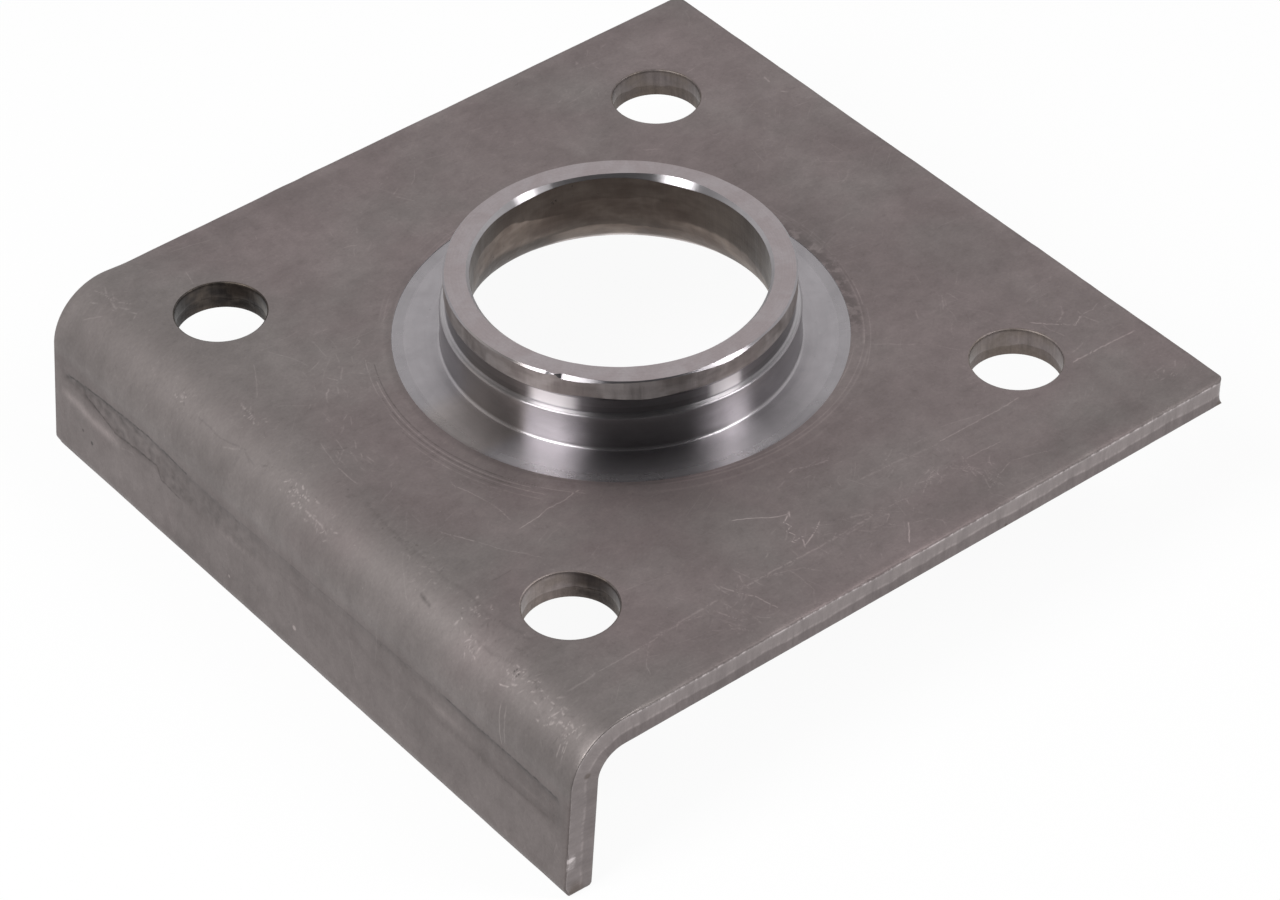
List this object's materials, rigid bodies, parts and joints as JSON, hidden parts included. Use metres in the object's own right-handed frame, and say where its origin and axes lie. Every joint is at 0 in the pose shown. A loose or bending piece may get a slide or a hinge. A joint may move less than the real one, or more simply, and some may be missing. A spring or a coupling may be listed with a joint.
{
  "type": "flange plate",
  "caption": "Square steel flange plate with bolt holes, one edge folded into a lip, and a turned collar drawn up round a central bore.",
  "frame": {"origin": "centre of the square of bolt holes, at the plate's underside", "axes": "+Z along the collar, away from the underside; the folded lip lies along the -X side and hangs down; +Y runs along the fold"},
  "size_m": [0.1479, 0.1498, 0.0485],
  "materials": {
    "steel": "bare mill-finish sheet, scuffed, with bright turned faces on the collar"
  },
  "bodies": {
    "root": {"flange_plate": "steel"}
  },
  "joints": []
}
